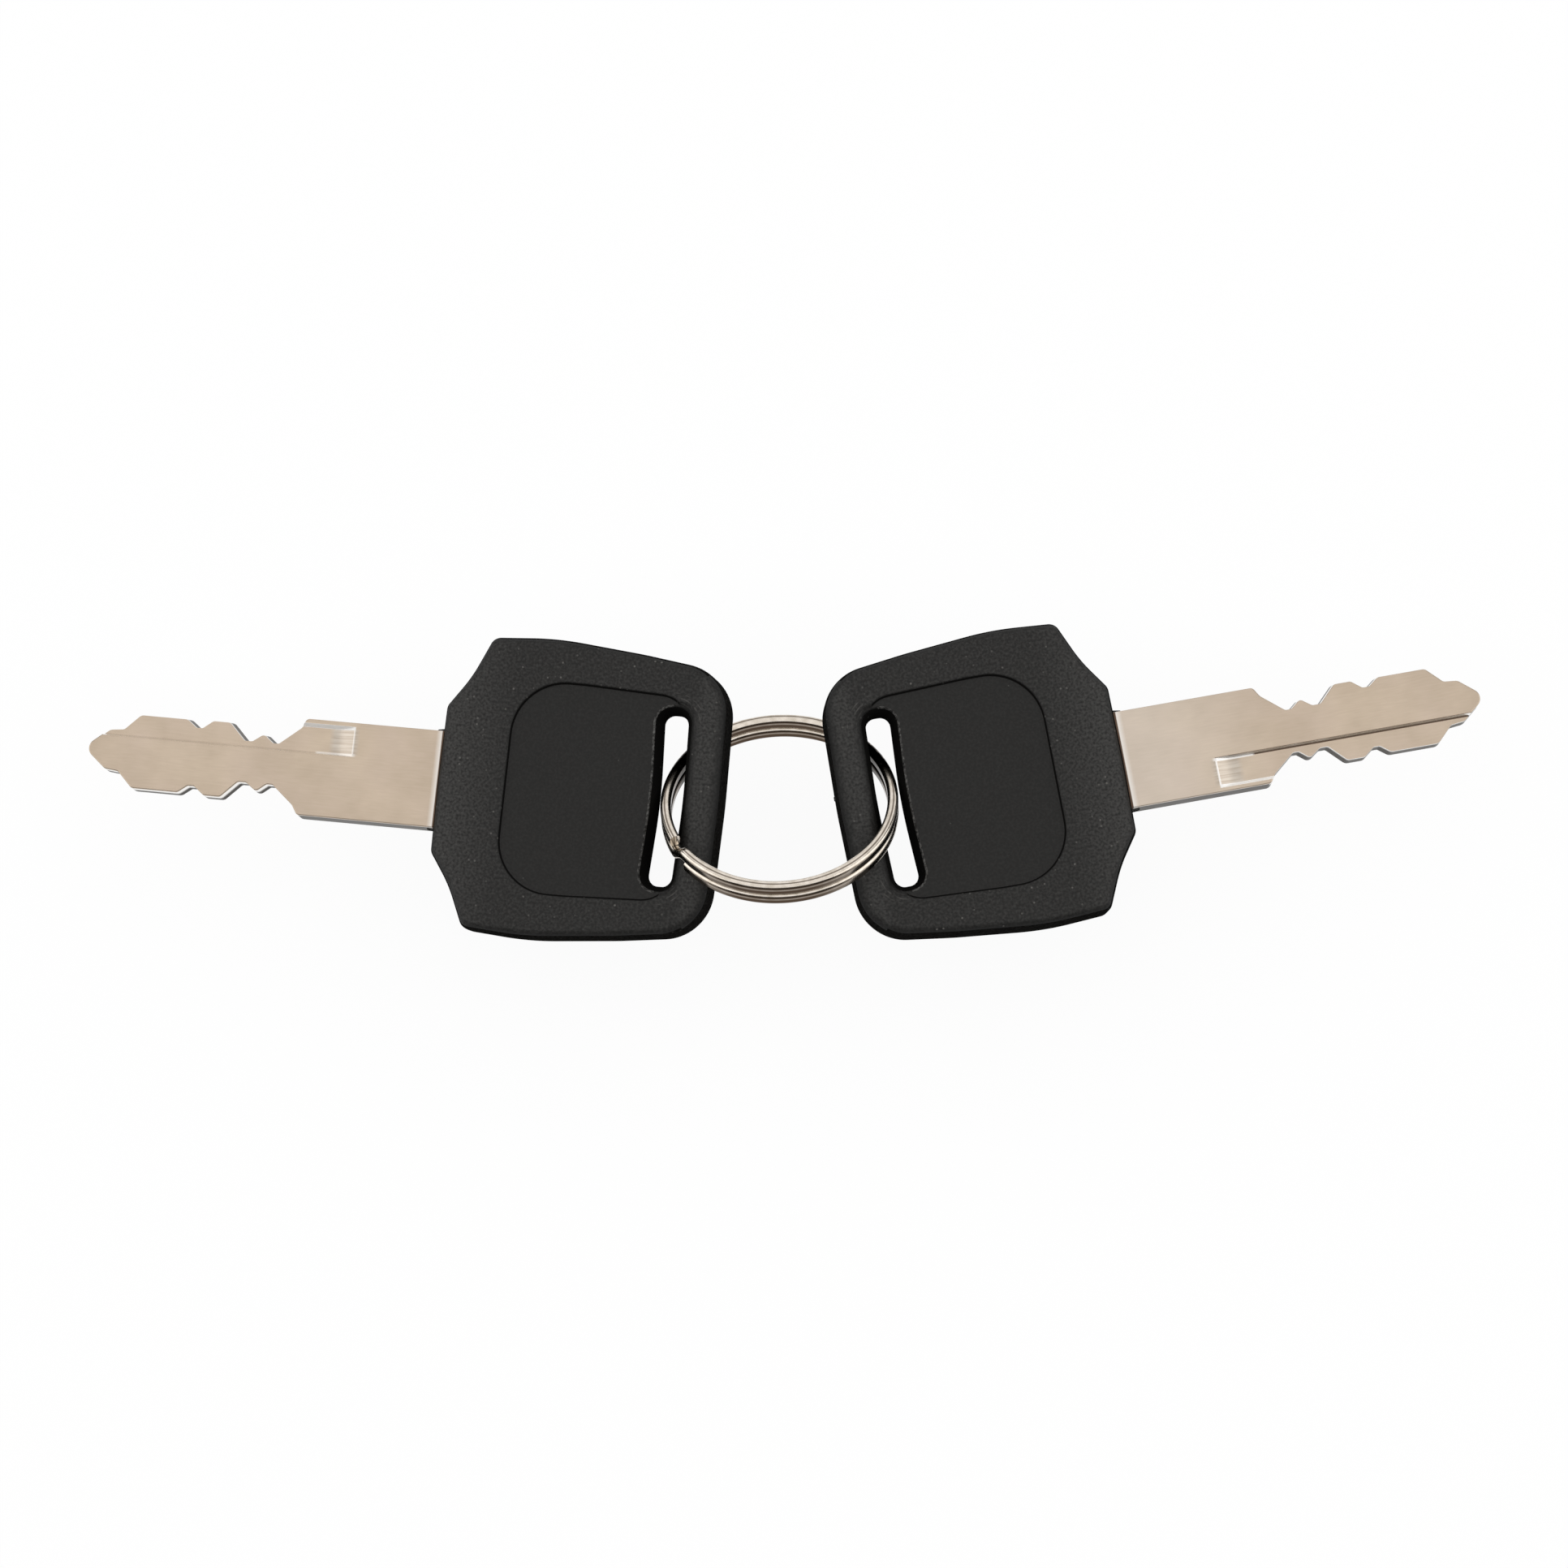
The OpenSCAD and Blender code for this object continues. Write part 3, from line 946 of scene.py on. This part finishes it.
for side, seed, gate in (("left", 3.1, False), ("right", 7.7, True)):
    place, turn = keyTurn(side)
    blade = keyBlade(side + "Blade")
    head = keyHead(side + "Head", seed, blade, gate)
    cleanMesh(blade, bladeSizes["sharpFrom"])
    cleanMesh(head, headSizes["sharpFrom"])
    markLevel(head)
    head.data.materials.append(plasticFinish(side + "HeadPlastic", side, "frame"))
    paintFaces(head, plasticFinish(side + "PanelPlastic", side, "panel"), onPanel)
    paintFaces(head, plasticFinish(side + "SidePlastic", side, "side"), onSide)
    paintFaces(head, plasticFinish(side + "WallPlastic", side, "wall"), shaded)
    paintFaces(head, plasticFinish(side + "LipPlastic", side, "lip"), onLip)
    blade.data.materials.append(bladeFinish(side + "BladeNickel", side, "face"))
    paintFaces(blade, bladeFinish(side + "FiledNickel", side, "filed"), onCuts)
    paintFaces(blade, bladeFinish(side + "RolledNickel", side, "rolled"), onShank)
    settle(head, place, turn, side + "_key", side + "_key_head")
    settle(blade, place, turn, side + "_key", side + "_key_blade")
    print(side, "key modelled:", len(head.data.polygons), "and", len(blade.data.polygons), "faces")

ring = splitRing("splitRing")
cleanMesh(ring, ringSizes["sharpFrom"])
ringMiddle = Vector(frame["joints"][0]["pos_m"])
ringTurn = Euler((-math.radians(ringSizes["tilt"]), 0, 0))
ring.data.materials.append(wireFinish("ringNickel", ringMiddle, ringTurn))
settle(ring, ringMiddle, ringTurn, "ring", "split_ring")
print("ring wound:", len(ring.data.polygons), "faces")


# floor, light and camera

floorLook = {
    "size": 4.0,
    "drop": 0.011,  # a turned key stays clear of the floor
    "colour": (0.97, 0.97, 0.97, 1),
    "white": 0.92,
}
lampLook = {
    "top": {"place": (0, 0.1, 1.0), "wide": 1.6, "deep": 1.8, "power": 8.8},
    "left": {"place": (-1.0, 0, 0.5), "wide": 1.2, "deep": 1.0, "power": 5.6},
    "right": {"place": (1.0, 0, 0.5), "wide": 1.2, "deep": 1.0, "power": 5.8},
    "far": {"place": (0, 1.0, 0.45), "wide": 1.8, "deep": 0.9, "power": 4.8},
    "near": {"place": (0, -1.15, 0.5), "wide": 1.4, "deep": 0.6, "power": 1.0},
}
worldLook = {"colour": (1, 1, 1, 1), "strength": 0.1}
cameraLook = {
    "tilt": 13.9,
    "yaw": 2.92,
    "distance": 0.4,
    "target": (0.00031, 0.001155, 0),
    "lens": 96.69,
    "sensor": 36,
    "clipStart": 0.01,
}

bpy.ops.object.select_all(action="DESELECT")
bpy.ops.mesh.primitive_plane_add(size=floorLook["size"], location=(0, 0, cadBox[0][2] - floorLook["drop"]))
floor = bpy.context.object
floor.name = "floor"
floorFinish, floorNet, floorShader = newFinish("paleFloor")
floorShader.inputs["Base Color"].default_value = floorLook["colour"]
floorShader.inputs["Roughness"].default_value = 1
floorShader.inputs["Specular IOR Level"].default_value = 0
floorGlow = floorNet.nodes.new("ShaderNodeEmission")
floorRay = floorNet.nodes.new("ShaderNodeLightPath").outputs
floorSeen = calc(floorNet, "MAXIMUM", floorRay["Is Camera Ray"], floorRay["Is Glossy Ray"])
floorSeen = calc(floorNet, "MAXIMUM", floorSeen, floorRay["Is Transmission Ray"])
floorMix = floorNet.nodes.new("ShaderNodeMixShader")
feed(floorNet, floorMix.inputs["Fac"], product(floorNet, floorSeen, floorLook["white"]))
feed(floorNet, floorMix.inputs[1], floorShader.outputs["BSDF"])
feed(floorNet, floorMix.inputs[2], floorGlow.outputs["Emission"])
feed(floorNet, floorNet.nodes["Material Output"].inputs["Surface"], floorMix.outputs["Shader"])
floor.data.materials.append(floorFinish)

for name, look in lampLook.items():
    facing = Euler((0, 0, 0))
    if name != "top":
        facing = (-Vector(look["place"])).to_track_quat("-Z", "Y").to_euler()
    bpy.ops.object.light_add(type="AREA", location=look["place"], rotation=facing)
    softbox = bpy.context.object
    softbox.name = name + "Softbox"
    softbox.data.shape = "RECTANGLE"
    softbox.data.size = look["wide"]
    softbox.data.size_y = look["deep"]
    softbox.data.energy = look["power"]

world = bpy.data.worlds.new("studio")
bpy.context.scene.world = world
world.use_nodes = True
world.node_tree.nodes["Background"].inputs["Color"].default_value = worldLook["colour"]
world.node_tree.nodes["Background"].inputs["Strength"].default_value = worldLook["strength"]

aim = Euler((math.radians(cameraLook["tilt"]), math.radians(cameraLook["yaw"]), 0))
away = aim.to_matrix() @ Vector((0, 0, cameraLook["distance"]))
bpy.ops.object.camera_add(location=Vector(cameraLook["target"]) + away, rotation=aim)
camera = bpy.context.object
camera.data.lens = cameraLook["lens"]
camera.data.sensor_width = cameraLook["sensor"]
camera.data.clip_start = cameraLook["clipStart"]
bpy.context.scene.camera = camera
bpy.context.scene.view_settings.view_transform = "Standard"
print("stage set")
